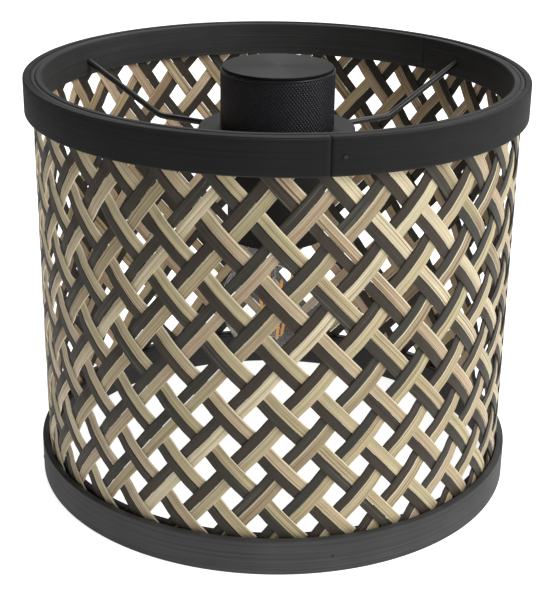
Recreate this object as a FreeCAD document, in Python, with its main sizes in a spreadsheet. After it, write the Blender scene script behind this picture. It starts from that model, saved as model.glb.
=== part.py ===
import FreeCAD, Part
import math
import os
import Sketcher

# A cordless lantern: a drum shade of woven bamboo strips held between pairs of bent hoops, with a thin
# strip that fills the gap between the hoops at each rim; a wire spider with three arms; and a battery lamp
# unit that hangs in the spider's ring by its flange.
# Millimetres, +Z up, origin in the middle of the footprint.

SIZES = {
    # shade
    "shade_height": 170,
    "shade_radius": 100,
    "hoop_height": 14,
    "bottom_hoop_height": 14.6,
    "outer_hoop_wall": 3.1,
    "inner_hoop_wall": 2.6,
    "mat_wall": 1.5,
    "mat_setback": 2,
    "filler_inset": 0.3,
    "hoop_fit": 0.05,
    "hoop_edge": 0.7,
    "lap_angle": 280.5,
    "lap_gap": 0.3,
    "lap_slant": 62,
    "pin_offset": 3,
    "pin_radius": 0.7,
    "pin_stop": 1,
    # spider
    "ring_clearance": 1,
    "ring_width": 7.5,
    "ring_thickness": 2.4,
    "ring_drop": 25.35,
    "arm_wire_radius": 1.3,
    "arm_level_run": 23.5,
    "arm_bend_radius": 9,
    "arm_stop": 0.8,
    "first_arm_angle": 34,
    # lamp unit
    "gasket_thickness": 0.8,
    "gasket_inset": 0.5,
    "seat_gap": 0.05,
    "flange_overhang": 0.5,
    "flange_thickness": 1.5,
    "flange_edge": 0.4,
    "barrel_wall": 2,
    "barrel_drop": 44.5,
    "deck_thickness": 2,
    "deck_ledge": 1,
    "web_thickness": 1.8,
    "inner_fit": 0.05,
    "insulator_wall": 3.9,
    "socket_depth": 23.2,
    "shell_wall": 0.5,
    "shell_lip": 2,
    "thread_gap": 0.5,
    "screw_radius": 1,
    "screw_depth": 6,
    "screw_head": 1.6,
    "lead_radius": 0.6,
    "lead_offset": 2,
    "tip_gap": 0.5,
    "contact_thickness": 1,
    "strip_width": 3,
    "strip_thickness": 0.5,
    "board_gap": 0.4,
    "board_thickness": 1.6,
    "board_margin": 1.2,
    "port_width": 9,
    "port_height": 3.2,
    "port_depth": 7,
    "port_wall": 0.4,
    "battery_margin": 2,
    "battery_height": 15,
    "battery_gap": 0.6,
    # dial
    "dial_wall": 2.5,
    "dial_gap": 0.6,
    "dial_clearance": 0.5,
    "dial_cap_thickness": 2.4,
    "dial_cap_proud": 1.2,
    "dial_edge": 0.45,
    "dial_rim_flat": 0.25,
    "encoder_side": 12,
    "encoder_height": 7,
    "encoder_gap": 4.1,
    "bushing_wall": 1.45,
    "bushing_rise": 3.4,
    "shaft_radius": 3,
    "shaft_fit": 0.05,
    "nut_wall": 1.5,
    "nut_height": 2,
    "boss_wall": 3,
    "boss_length": 3.8,
    # charge plug
    "plug_lip": 0.65,
    "plug_head": 1.6,
    "plug_gap": 0.3,
    "plug_tongue": 4,
    # bulb
    "globe_radius": 22.5,
    "globe_drop": 28.75,
    "neck_gap": 0.5,
    "neck_angle": 42,
    "glass_wall": 0.8,
    "cap_radius": 13.1,
    "cap_wall": 0.4,
    "cap_height": 21,
    "cap_button": 2,
    "button_radius": 8.5,
    "tip_radius": 4.5,
    "tip_height": 1.4,
    "stem_radius": 4.2,
    "stem_foot": 9,
    "stem_end_rise": 18,
    "filament_radius": 0.65,
    "filament_top_rise": 13,
    "filament_foot_drop": 15,
    "filament_top_circle": 8,
    "filament_foot_circle": 3.4,
    "support_radius": 0.35,
    # how far a cutting tool runs past what it cuts
    "cut_over": 1,
}

# The shade, from its outer face inwards
TOP_HOOP_BOTTOM = "(sizes.shade_height - sizes.hoop_height)"
TOP_HOOP_MIDDLE = "(sizes.shade_height - sizes.hoop_height / 2)"
OUTER_HOOP_INNER = "(sizes.shade_radius - sizes.outer_hoop_wall)"
MAT_OUTER = f"({OUTER_HOOP_INNER} - sizes.hoop_fit)"
MAT_INNER = f"({MAT_OUTER} - sizes.mat_wall)"
INNER_HOOP_OUTER = f"({MAT_INNER} - sizes.hoop_fit)"
INNER_HOOP_INNER = f"({INNER_HOOP_OUTER} - sizes.inner_hoop_wall)"

# Radii of the lamp unit, from the bulb's screw cap outwards
SHELL_RADIUS = "(sizes.cap_radius + sizes.thread_gap + sizes.shell_wall)"
BARREL_BORE = f"({SHELL_RADIUS} + sizes.insulator_wall)"
BARREL_RADIUS = f"({BARREL_BORE} + sizes.barrel_wall)"
DECK_RADIUS = f"({BARREL_BORE} + sizes.deck_ledge - sizes.inner_fit)"
SCREW_CIRCLE = f"(({SHELL_RADIUS} + {BARREL_BORE}) / 2)"
STRIP_MIDDLE = f"({SHELL_RADIUS} + sizes.inner_fit + sizes.strip_thickness / 2)"
CONTACT_RADIUS = "(sizes.tip_radius + sizes.tip_gap)"
DIAL_BORE = f"({BARREL_RADIUS} + sizes.dial_clearance)"
DIAL_RADIUS = f"({DIAL_BORE} + sizes.dial_wall)"
DIAL_CAP_SEAT = f"({DIAL_RADIUS} - sizes.dial_edge - sizes.dial_rim_flat)"
DIAL_CAP_RADIUS = f"({DIAL_CAP_SEAT} - sizes.inner_fit)"
SHAFT_BORE = "(sizes.shaft_radius + sizes.shaft_fit)"
BUSHING_RADIUS = f"({SHAFT_BORE} + sizes.bushing_wall)"
PLUG_WIDTH = "(sizes.port_width + 2 * sizes.plug_lip)"
PLUG_BACK = f"({BARREL_RADIUS} + sizes.plug_gap)"
PLUG_REACH = f"sqrt(({PLUG_BACK} + sizes.plug_head) ^ 2 + ({PLUG_WIDTH} / 2) ^ 2)"

# The ring lets the bulb, the barrel and the charge plug through, and carries the flange
RING_INNER = f"(max(sizes.globe_radius; {PLUG_REACH}) + sizes.ring_clearance)"
RING_OUTER = f"({RING_INNER} + sizes.ring_width)"
FLANGE_RADIUS = f"({RING_OUTER} + sizes.flange_overhang)"

# Levels, from the rim down to the ring and from there up and down the lamp unit
RING_TOP = "(sizes.shade_height - sizes.ring_drop)"
RING_BOTTOM = f"({RING_TOP} - sizes.ring_thickness)"
ARM_LEVEL = f"({RING_TOP} - sizes.ring_thickness / 2)"
GASKET_BOTTOM = f"({RING_TOP} + sizes.seat_gap)"
FLANGE_BOTTOM = f"({GASKET_BOTTOM} + sizes.gasket_thickness)"
FLANGE_TOP = f"({FLANGE_BOTTOM} + sizes.flange_thickness)"
BARREL_BOTTOM = f"({FLANGE_BOTTOM} - sizes.barrel_drop)"
SOCKET_TOP = f"({BARREL_BOTTOM} + sizes.socket_depth)"
SHELL_TOP = f"({SOCKET_TOP} - sizes.shell_lip)"
CONTACT_BOTTOM = f"({SOCKET_TOP} - sizes.contact_thickness)"
WEB_TOP = f"({SOCKET_TOP} + sizes.web_thickness)"
BOARD_BOTTOM = f"({WEB_TOP} + sizes.screw_head + sizes.board_gap)"
BOARD_TOP = f"({BOARD_BOTTOM} + sizes.board_thickness)"
PORT_MIDDLE = f"({BOARD_TOP} + sizes.port_height / 2)"
BATTERY_BOTTOM = f"({BOARD_TOP} + sizes.port_height + sizes.battery_gap)"
BATTERY_TOP = f"({BATTERY_BOTTOM} + sizes.battery_height)"
DECK_BOTTOM = f"({BATTERY_TOP} + sizes.encoder_gap + sizes.encoder_height)"
BARREL_TOP = f"({DECK_BOTTOM} + sizes.deck_thickness)"
BUSHING_TOP = f"({BARREL_TOP} + sizes.bushing_rise)"
BOSS_BOTTOM = f"({BUSHING_TOP} + sizes.dial_gap)"
CAP_BOTTOM = f"({BOSS_BOTTOM} + sizes.boss_length)"
DIAL_BOTTOM = f"({FLANGE_TOP} + sizes.dial_gap)"
DIAL_TOP = f"({CAP_BOTTOM} + sizes.dial_cap_thickness)"
SLEEVE_TOP = f"({DIAL_TOP} - sizes.dial_cap_proud)"
SHAFT_TOP = f"({CAP_BOTTOM} - sizes.dial_gap)"
SHAFT_BOTTOM = f"({DECK_BOTTOM} - sizes.encoder_height / 2)"

# Levels of the bulb, down from the contact that it touches
TIP_TOP = f"({CONTACT_BOTTOM} - sizes.seat_gap)"
TIP_BOTTOM = f"({TIP_TOP} - sizes.tip_height)"
CAP_TOP = f"({TIP_BOTTOM} - sizes.cap_button)"
CAP_FOOT = f"({CAP_TOP} - sizes.cap_height)"
CAP_BORE = "(sizes.cap_radius - sizes.cap_wall)"
NECK_RADIUS = f"({CAP_BORE} - sizes.neck_gap)"
NECK_TOP = f"({CAP_FOOT} + sizes.stem_foot)"
GLOBE_CENTRE = f"({CAP_FOOT} - sizes.globe_drop)"
STEM_END = f"({GLOBE_CENTRE} + sizes.stem_end_rise)"
FILAMENT_TOP = f"({GLOBE_CENTRE} + sizes.filament_top_rise)"
FILAMENT_FOOT = f"({GLOBE_CENTRE} - sizes.filament_foot_drop)"

ARM_ANGLES = {"right": 0, "left": 117, "front": 240}
PIN_ANGLES = (0, 90, 180, 270)
SCREW_ANGLES = (0, 180)
FILAMENT_ANGLES = (20, 110, 200, 290)

doc = FreeCAD.newDocument("bamboo_lantern")
sheet = doc.addObject("Spreadsheet::Sheet", "sizes")
nodes = {}


def fill_sheet():
    for row, (alias, number) in enumerate(SIZES.items(), start=1):
        sheet.set(f"A{row}", alias)
        sheet.set(f"B{row}", str(number))
        sheet.setAlias(f"B{row}", alias)
    doc.recompute()


def value(expression):
    """The number that an expression on the sheet has now."""
    result = sheet.evalExpression(str(expression))
    return float(getattr(result, "Value", result))


def bind(thing, **expressions):
    for name, expression in expressions.items():
        thing.setExpression(name, str(expression))
    return thing


def place(thing, x="0", y="0", z="0"):
    """Bind a primitive's corner or base centre."""
    for axis, expression in zip("xyz", (x, y, z)):
        thing.setExpression(f"Placement.Base.{axis}", str(expression))
    return thing


def keep(label, thing):
    """Name a finished sub-part; its label is its file's name."""
    thing.Label = label
    nodes[label] = thing
    return thing


def origin_plane(body, role):
    return next(plane for plane in body.Origin.OriginFeatures if plane.Role == role)


def sketch_on(body, name, role):
    sketch = body.newObject("Sketcher::SketchObject", name)
    sketch.AttachmentSupport = (origin_plane(body, role), "")
    sketch.MapMode = "FlatFace"
    return sketch


def pin_point(sketch, edge, end, across, up):
    """Hold one end of an edge at (across, up), both expressions; "0" puts it on the axis."""
    for kind, axis, expression in (("DistanceX", -2, across), ("DistanceY", -1, up)):
        if expression == "0":
            sketch.addConstraint(Sketcher.Constraint("PointOnObject", edge, end, axis))
        else:
            rule = Sketcher.Constraint(kind, -1, 1, edge, end, value(expression))
            index = sketch.addConstraint(rule)
            sketch.setExpression(f"Constraints[{index}]", expression)


def turned(name, outline):
    """A body turned about Z from a closed outline of (radius, height) expressions."""
    body = doc.addObject("PartDesign::Body", name)
    sketch = sketch_on(body, name + "_outline", "XZ_Plane")
    points = [FreeCAD.Vector(value(across), value(up), 0) for across, up in outline]
    count = len(points)
    for index in range(count):
        sketch.addGeometry(Part.LineSegment(points[index], points[(index + 1) % count]))
    for index in range(count):
        following = (index + 1) % count
        sketch.addConstraint(Sketcher.Constraint("Coincident", index, 2, following, 1))
    for index, (across, up) in enumerate(outline):
        pin_point(sketch, index, 1, across, up)
    turn = body.newObject("PartDesign::Revolution", name + "_turn")
    turn.Profile = sketch
    turn.ReferenceAxis = (sketch, ["V_Axis"])
    turn.Angle = 360
    body.Tip = turn
    return body


def tube(name, inner, outer, bottom, top):
    return turned(name, [(inner, bottom), (outer, bottom), (outer, top), (inner, top)])


def disc(name, radius, bottom, top):
    return tube(name, "0", radius, bottom, top)


def rod(name, angle, start, end, radius):
    """A round rod from start to end, both (radius, height), in the upright plane at an angle."""
    run = f"({end[0]} - ({start[0]}))"
    rise = f"({end[1]} - ({start[1]}))"
    around = f"rotation(vector(0; 0; 1); {angle})"
    lean = f"rotation(vector(0; 1; 0); atan2({run}; {rise}))"
    base = f"{around} * vector({start[0]}; 0; {start[1]})"
    cylinder = doc.addObject("Part::Cylinder", name)
    bind(cylinder, Radius=radius, Height=f"sqrt({run} ^ 2 + {rise} ^ 2)")
    return bind(cylinder, Placement=f"placement({base}; {around} * {lean})")


def block(name, x, y, z, length, width, height):
    box = doc.addObject("Part::Box", name)
    bind(box, Length=length, Width=width, Height=height)
    return place(box, x, y, z)


def group(name, members):
    compound = doc.addObject("Part::Compound", name)
    compound.Links = members
    return compound


def fused(name, members):
    union = doc.addObject("Part::MultiFuse", name)
    union.Shapes = members
    union.Refine = True
    return union


def cut(name, base, tools):
    for number, tool in enumerate(tools, start=1):
        difference = doc.addObject("Part::Cut", f"{name}_{number}")
        difference.Base = base
        difference.Tool = tool
        base = difference
    return base


def hoop(name, inner, outer, bottom, top):
    """A flat bent hoop with its four edges broken."""
    edge = "sizes.hoop_edge"
    return turned(name, [
        (f"{inner} + {edge}", bottom), (f"{outer} - {edge}", bottom),
        (outer, edge if bottom == "0" else f"{bottom} + {edge}"), (outer, f"{top} - {edge}"),
        (f"{outer} - {edge}", top), (f"{inner} + {edge}", top),
        (inner, f"{top} - {edge}"), (inner, edge if bottom == "0" else f"{bottom} + {edge}"),
    ])


def hoop_pin(name, angle, level, spare):
    """A nail from the outer hoop's face, through the mat, into the inner hoop."""
    head = f"sizes.shade_radius + {spare}"
    point = f"{INNER_HOOP_INNER} + sizes.pin_stop - {spare}"
    place_at = f"sizes.lap_angle + sizes.pin_offset + {angle}"
    return rod(name, place_at, (point, level), (head, level), f"sizes.pin_radius + {spare}")


def lap_slot(name, angle, level, height):
    """The slanted gap where a hoop's two ends meet."""
    slot = doc.addObject("Part::Box", name)
    bind(slot, Length="4 * sizes.outer_hoop_wall", Width="sizes.lap_gap", Height=height)
    around = f"rotation(vector(0; 0; 1); sizes.lap_angle + {angle})"
    lean = "rotation(vector(0; 0; 1); sizes.lap_slant)"
    corner = f"vector({OUTER_HOOP_INNER} - sizes.outer_hoop_wall / 2; -2 * sizes.outer_hoop_wall; {level})"
    return bind(slot, Placement=f"placement({around} * {corner}; {around} * {lean})")


def bent_arm(name, angle, spare):
    """A wire that leaves the ring level, bends up and ends inside the inner hoop."""
    body = doc.addObject("PartDesign::Body", name)
    path = sketch_on(body, name + "_path", "XZ_Plane")
    bend_start = f"{RING_OUTER} + sizes.arm_level_run"
    tip_radius = f"{INNER_HOOP_OUTER} - sizes.arm_stop"
    begin = FreeCAD.Vector(value(RING_OUTER), value(ARM_LEVEL), 0)
    bend = FreeCAD.Vector(value(bend_start), begin.y, 0)
    tip = FreeCAD.Vector(value(tip_radius), value(TOP_HOOP_MIDDLE), 0)
    radius = value("sizes.arm_bend_radius")
    centre = bend + FreeCAD.Vector(0, radius, 0)
    climb = (tip - bend).getAngle(FreeCAD.Vector(1, 0, 0))
    lowest = -math.pi / 2
    arc = Part.ArcOfCircle(Part.Circle(centre, FreeCAD.Vector(0, 0, 1), radius), lowest, lowest + climb)
    path.addGeometry(Part.LineSegment(begin, bend))
    path.addGeometry(arc)
    path.addGeometry(Part.LineSegment(arc.EndPoint, tip))
    path.addConstraint(Sketcher.Constraint("Horizontal", 0))
    path.addConstraint(Sketcher.Constraint("Tangent", 0, 2, 1, 1))
    path.addConstraint(Sketcher.Constraint("Tangent", 1, 2, 2, 1))
    index = path.addConstraint(Sketcher.Constraint("Radius", 1, radius))
    path.setExpression(f"Constraints[{index}]", "sizes.arm_bend_radius")
    pin_point(path, 0, 1, RING_OUTER, ARM_LEVEL)
    index = path.addConstraint(Sketcher.Constraint("DistanceX", -1, 1, 0, 2, bend.x))
    path.setExpression(f"Constraints[{index}]", bend_start)
    pin_point(path, 2, 2, tip_radius, TOP_HOOP_MIDDLE)

    section = sketch_on(body, name + "_section", "YZ_Plane")
    section.setExpression("AttachmentOffset.Base.z", RING_OUTER)
    section.addGeometry(Part.Circle(FreeCAD.Vector(0, begin.y, 0), FreeCAD.Vector(0, 0, 1), 1))
    index = section.addConstraint(Sketcher.Constraint("Radius", 0, value("sizes.arm_wire_radius")))
    section.setExpression(f"Constraints[{index}]", f"sizes.arm_wire_radius + {spare}")
    pin_point(section, 0, 3, "0", ARM_LEVEL)

    pipe = body.newObject("PartDesign::AdditivePipe", name + "_wire")
    pipe.Profile = section
    pipe.Spine = (path, ["Edge1", "Edge2", "Edge3"])
    body.Tip = pipe
    around = f"rotation(vector(0; 0; 1); sizes.first_arm_angle + {angle})"
    return bind(body, Placement=f"placement(vector(0; 0; 0); {around})")


def make_shade():
    levels = {"top": TOP_HOOP_MIDDLE, "bottom": "(sizes.bottom_hoop_height / 2)"}
    pins = []
    holes = {"top": [], "bottom": []}
    for side, level in levels.items():
        for angle in PIN_ANGLES:
            pins.append(hoop_pin(f"pin_{side}_{angle}", angle, level, "0"))
            holes[side].append(hoop_pin(f"pin_hole_{side}_{angle}", angle, level, "sizes.hoop_fit"))
    keep("hoop_pins", group("pins", pins))

    heights = {"top": (TOP_HOOP_BOTTOM, "sizes.shade_height"), "bottom": ("0", "sizes.bottom_hoop_height")}
    lap_turns = {"top": 0, "bottom": 180}
    arm_holes = [bent_arm(f"arm_hole_{side}", angle, "sizes.hoop_fit")
                 for side, angle in ARM_ANGLES.items()]
    for side, (low, high) in heights.items():
        outer = hoop(f"outer_ring_{side}", OUTER_HOOP_INNER, "sizes.shade_radius", low, high)
        slot = lap_slot(f"lap_{side}", lap_turns[side], f"{low} - sizes.cut_over",
                        f"{high} - {low} + 2 * sizes.cut_over")
        keep(f"{side}_outer_hoop", cut(f"outer_cut_{side}", outer, [slot] + holes[side]))
        inner = hoop(f"inner_ring_{side}", INNER_HOOP_INNER, INNER_HOOP_OUTER, low, high)
        tools = holes[side] + (arm_holes if side == "top" else [])
        keep(f"{side}_inner_hoop", cut(f"inner_cut_{side}", inner, tools))

    mat = tube("mat_tube", MAT_INNER, MAT_OUTER, "sizes.mat_setback",
               "sizes.shade_height - sizes.mat_setback")
    keep("woven_mat", cut("mat_cut", mat, holes["top"] + holes["bottom"]))
    keep("top_filler_strip", tube("top_filler", MAT_INNER, MAT_OUTER,
                                  "sizes.shade_height - sizes.mat_setback + sizes.hoop_fit",
                                  "sizes.shade_height - sizes.filler_inset"))
    keep("bottom_filler_strip", tube("bottom_filler", MAT_INNER, MAT_OUTER, "sizes.filler_inset",
                                     "sizes.mat_setback - sizes.hoop_fit"))


def make_spider():
    keep("spider_ring", tube("ring", RING_INNER, RING_OUTER, RING_BOTTOM, RING_TOP))
    for side, angle in ARM_ANGLES.items():
        keep(f"spider_arm_{side}", bent_arm(f"arm_{side}", angle, "0"))


def make_housing():
    edge = "sizes.flange_edge"
    barrel = turned("barrel", [
        (BARREL_BORE, BARREL_BOTTOM), (BARREL_RADIUS, BARREL_BOTTOM),
        (BARREL_RADIUS, FLANGE_BOTTOM), (f"{FLANGE_RADIUS} - {edge}", FLANGE_BOTTOM),
        (FLANGE_RADIUS, f"{FLANGE_BOTTOM} + {edge}"), (FLANGE_RADIUS, f"{FLANGE_TOP} - {edge}"),
        (f"{FLANGE_RADIUS} - {edge}", FLANGE_TOP), (BARREL_RADIUS, FLANGE_TOP),
        (BARREL_RADIUS, BARREL_TOP), (f"{BARREL_BORE} + sizes.deck_ledge", BARREL_TOP),
        (f"{BARREL_BORE} + sizes.deck_ledge", DECK_BOTTOM), (BARREL_BORE, DECK_BOTTOM),
    ])
    web = disc("web", BARREL_BORE, SOCKET_TOP, WEB_TOP)
    port_hole = block("port_hole", "-sizes.port_width / 2 - sizes.inner_fit",
                      f"{BARREL_BORE} - sizes.barrel_wall", f"{BOARD_TOP} - sizes.inner_fit",
                      "sizes.port_width + 2 * sizes.inner_fit",
                      "2 * sizes.barrel_wall + sizes.cut_over", "sizes.port_height + 2 * sizes.inner_fit")
    passages = socket_screws("web_hole", "sizes.inner_fit") + socket_leads("lead_hole", "sizes.inner_fit")
    keep("lamp_housing", cut("housing_cut", fused("housing", [barrel, web]), [port_hole] + passages))
    keep("flange_gasket", tube("gasket", RING_INNER, f"{RING_OUTER} - sizes.gasket_inset",
                               GASKET_BOTTOM, FLANGE_BOTTOM))


def socket_screws(name, spare):
    """The screws' shanks, or their holes when spare is the clearance round them."""
    low = f"{SOCKET_TOP} - sizes.screw_depth - {spare}"
    return [rod(f"{name}_{angle}", angle, (SCREW_CIRCLE, low), (SCREW_CIRCLE, f"{WEB_TOP} + {spare}"),
                f"sizes.screw_radius + {spare}") for angle in SCREW_ANGLES]


def socket_leads(name, spare):
    """Leads from the board down to the centre contact and the side contact, or their holes."""
    ends = {"centre": ("sizes.lead_offset", SOCKET_TOP), "side": (STRIP_MIDDLE, SHELL_TOP)}
    return [rod(f"{name}_{side}", 90, (across, f"{foot} - {spare}"), (across, BOARD_BOTTOM),
                f"sizes.lead_radius + {spare}") for side, (across, foot) in ends.items()]


def make_socket():
    outer = f"({BARREL_BORE} - sizes.inner_fit)"
    bore = f"({SHELL_RADIUS} + sizes.inner_fit)"
    body = turned("insulator", [
        (bore, BARREL_BOTTOM), (outer, BARREL_BOTTOM), (outer, SOCKET_TOP),
        (CONTACT_RADIUS, SOCKET_TOP), (CONTACT_RADIUS, SHELL_TOP), (bore, SHELL_TOP),
    ])
    holes = socket_screws("insulator_hole", "sizes.inner_fit")
    holes += socket_leads("insulator_lead", "sizes.inner_fit")
    holes.append(contact_strip("strip_hole", "sizes.inner_fit"))
    keep("socket_insulator", cut("insulator_cut", body, holes))
    keep("screw_shell", tube("shell", f"{SHELL_RADIUS} - sizes.shell_wall", SHELL_RADIUS,
                             f"{BARREL_BOTTOM} + sizes.shell_lip", SHELL_TOP))
    keep("centre_contact", disc("contact", f"{CONTACT_RADIUS} - sizes.inner_fit",
                                CONTACT_BOTTOM, SOCKET_TOP))
    keep("side_contact", contact_strip("strip", "0"))
    heads = []
    for shank, angle in zip(socket_screws("screw", "0"), SCREW_ANGLES):
        head = rod(f"screw_head_{angle}", angle, (SCREW_CIRCLE, WEB_TOP),
                   (SCREW_CIRCLE, f"{WEB_TOP} + sizes.screw_head"), "1.9 * sizes.screw_radius")
        heads.append(fused(f"socket_screw_{angle}", [shank, head]))
    keep("socket_screws", group("screws", heads))
    keep("socket_leads", group("leads", socket_leads("lead", "0")))


def contact_strip(name, spare):
    """The upright strip that presses on the screw shell's outside."""
    return block(name, f"-sizes.strip_width / 2 - {spare}", f"{SHELL_RADIUS} + sizes.inner_fit - {spare}",
                 f"{BARREL_BOTTOM} + 2 * sizes.shell_lip - {spare}", f"sizes.strip_width + 2 * {spare}",
                 f"sizes.strip_thickness + 2 * {spare}",
                 f"sizes.socket_depth - 3 * sizes.shell_lip + 2 * {spare}")


def make_electronics():
    keep("control_board", disc("board", f"{BARREL_BORE} - sizes.board_margin", BOARD_BOTTOM, BOARD_TOP))
    keep("battery_pack", disc("battery", f"{BARREL_BORE} - sizes.battery_margin",
                              BATTERY_BOTTOM, BATTERY_TOP))
    mouth = f"({BARREL_BORE} + sizes.barrel_wall / 2)"
    shell = block("port_shell", "-sizes.port_width / 2", f"{mouth} - sizes.port_depth", BOARD_TOP,
                  "sizes.port_width", "sizes.port_depth", "sizes.port_height")
    slot = block("port_slot", "-sizes.port_width / 2 + sizes.port_wall",
                 f"{mouth} - sizes.port_depth + sizes.port_wall", f"{BOARD_TOP} + sizes.port_wall",
                 "sizes.port_width - 2 * sizes.port_wall", "sizes.port_depth",
                 "sizes.port_height - 2 * sizes.port_wall")
    keep("charge_port", cut("port_cut", shell, [slot]))
    height = "(sizes.port_height + 2 * sizes.plug_lip)"
    head = block("plug_face", f"-{PLUG_WIDTH} / 2", PLUG_BACK, f"{PORT_MIDDLE} - {height} / 2",
                 PLUG_WIDTH, "sizes.plug_head", height)
    side = "(sizes.port_wall + sizes.plug_gap)"
    tongue = block("plug_tongue", f"-sizes.port_width / 2 + {side}", f"{PLUG_BACK} - sizes.plug_tongue",
                   f"{BOARD_TOP} + {side}", f"sizes.port_width - 2 * {side}", "sizes.plug_tongue",
                   f"sizes.port_height - 2 * {side}")
    keep("port_plug", fused("plug", [head, tongue]))


def make_dial():
    hole = f"({BUSHING_RADIUS} + sizes.inner_fit)"
    keep("top_deck", tube("deck", hole, DECK_RADIUS, DECK_BOTTOM, BARREL_TOP))
    case = block("encoder_case", "-sizes.encoder_side / 2", "-sizes.encoder_side / 2",
                 f"{DECK_BOTTOM} - sizes.encoder_height", "sizes.encoder_side", "sizes.encoder_side",
                 "sizes.encoder_height")
    bushing = disc("bushing", BUSHING_RADIUS, f"{DECK_BOTTOM} - sizes.cut_over", BUSHING_TOP)
    bore = disc("bushing_bore", SHAFT_BORE, f"{SHAFT_BOTTOM} - sizes.shaft_fit",
                f"{BUSHING_TOP} + sizes.cut_over")
    keep("encoder_body", cut("encoder_cut", fused("encoder", [case, bushing]), [bore]))
    hexagon = doc.addObject("Part::Prism", "hexagon")
    hexagon.Polygon = 6
    bind(hexagon, Circumradius=f"({BUSHING_RADIUS} + sizes.nut_wall) / cos(30)", Height="sizes.nut_height")
    place(hexagon, z=BARREL_TOP)
    nut_hole = disc("nut_hole", hole, f"{BARREL_TOP} - sizes.cut_over",
                    f"{BARREL_TOP} + sizes.nut_height + sizes.cut_over")
    keep("encoder_nut", cut("nut_cut", hexagon, [nut_hole]))
    keep("encoder_shaft", disc("shaft", "sizes.shaft_radius", SHAFT_BOTTOM, SHAFT_TOP))

    edge = "sizes.dial_edge"
    keep("dial_sleeve", turned("sleeve", [
        (DIAL_BORE, DIAL_BOTTOM), (f"{DIAL_RADIUS} - {edge}", DIAL_BOTTOM),
        (DIAL_RADIUS, f"{DIAL_BOTTOM} + {edge}"), (DIAL_RADIUS, f"{SLEEVE_TOP} - {edge}"),
        (f"{DIAL_RADIUS} - {edge}", SLEEVE_TOP), (DIAL_CAP_SEAT, SLEEVE_TOP), (DIAL_CAP_SEAT, CAP_BOTTOM),
        (DIAL_BORE, CAP_BOTTOM),
    ]))
    boss = "(sizes.shaft_radius + sizes.boss_wall)"
    keep("dial_cap", turned("cap_disc", [
        ("0", SHAFT_TOP), (SHAFT_BORE, SHAFT_TOP), (SHAFT_BORE, BOSS_BOTTOM), (boss, BOSS_BOTTOM),
        (boss, CAP_BOTTOM), (DIAL_CAP_RADIUS, CAP_BOTTOM), (DIAL_CAP_RADIUS, DIAL_TOP), ("0", DIAL_TOP),
    ]))


def glass_form(name, inset):
    """Globe, tangent shoulder and neck, all drawn in by inset."""
    radius = f"(sizes.globe_radius - {inset})"
    neck = f"({NECK_RADIUS} - {inset})"
    globe = doc.addObject("Part::Sphere", name + "_globe")
    place(bind(globe, Radius=radius), z=GLOBE_CENTRE)
    start = f"{radius} * cos(sizes.neck_angle)"
    low = f"({GLOBE_CENTRE} + {radius} * sin(sizes.neck_angle))"
    rise = f"(({start} - {neck}) / tan(sizes.neck_angle))"
    shoulder = doc.addObject("Part::Cone", name + "_shoulder")
    place(bind(shoulder, Radius1=start, Radius2=neck, Height=rise), z=low)
    collar = doc.addObject("Part::Cylinder", name + "_collar")
    place(bind(collar, Radius=neck, Height=f"{NECK_TOP} - {low} - {rise}"), z=f"{low} + {rise}")
    return fused(name, [globe, shoulder, collar])


def make_bulb():
    hollow = glass_form("glass_inside", "sizes.glass_wall")
    keep("bulb_glass", cut("glass_cut", glass_form("glass_outside", "0"), [hollow]))
    keep("bulb_cap", turned("cap_shell", [
        (CAP_BORE, CAP_FOOT), ("sizes.cap_radius", CAP_FOOT), ("sizes.cap_radius", CAP_TOP),
        ("sizes.button_radius", CAP_TOP), ("sizes.button_radius", f"{CAP_TOP} - sizes.cap_wall"),
        (CAP_BORE, f"{CAP_TOP} - sizes.cap_wall"),
    ]))
    keep("cap_insulator", disc("cap_button", "sizes.button_radius", CAP_TOP, TIP_BOTTOM))
    keep("contact_tip", disc("tip", "sizes.tip_radius", TIP_BOTTOM, TIP_TOP))
    keep("bulb_stem", turned("stem", [
        ("0", STEM_END), ("sizes.stem_radius / 2", STEM_END),
        ("sizes.stem_radius", f"{STEM_END} + sizes.stem_foot"),
        (f"{NECK_RADIUS} - sizes.glass_wall - sizes.inner_fit", NECK_TOP), ("0", NECK_TOP),
    ]))
    top = ("sizes.filament_top_circle", FILAMENT_TOP)
    bottom = ("sizes.filament_foot_circle", FILAMENT_FOOT)
    filaments = []
    supports = []
    gap = "(sizes.support_radius + sizes.filament_radius / 4)"
    for angle in FILAMENT_ANGLES:
        filaments.append(rod(f"filament_{angle}", angle, bottom, top, "sizes.filament_radius"))
        supports.append(rod(f"support_{angle}", angle, ("0", f"{STEM_END} - {gap}"),
                            (top[0], f"{top[1]} + {gap}"), "sizes.support_radius"))
        supports.append(rod(f"foot_{angle}", angle, ("0", f"{bottom[1]} - {gap}"),
                            (bottom[0], f"{bottom[1]} - {gap}"), "sizes.support_radius"))
    keep("led_filaments", group("filaments", filaments))
    supports.append(rod("centre_wire", 0, ("0", f"{bottom[1]} - {gap}"), ("0", STEM_END),
                        "sizes.support_radius"))
    keep("support_wires", fused("supports", supports))


def check_and_write():
    doc.recompute()
    for thing in doc.Objects:
        if "Invalid" in thing.State or "Error" in thing.State:
            raise RuntimeError(f"{thing.Name} failed: {thing.State}")
    for label, thing in nodes.items():
        if thing.Shape.isNull() or not thing.Shape.isValid() or thing.Shape.Volume <= 0:
            raise RuntimeError(f"{label} has no sound shape")
    os.makedirs("parts", exist_ok=True)
    for label, thing in nodes.items():
        thing.Shape.exportStep(f"parts/{label}.step")
        print(label, "solids", len(thing.Shape.Solids), "volume", round(thing.Shape.Volume, 1))


fill_sheet()
make_shade()
make_spider()
make_housing()
make_socket()
make_electronics()
make_dial()
make_bulb()
check_and_write()
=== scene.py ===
import math

import bpy
import numpy as np
from mathutils import Matrix, Vector


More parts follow.
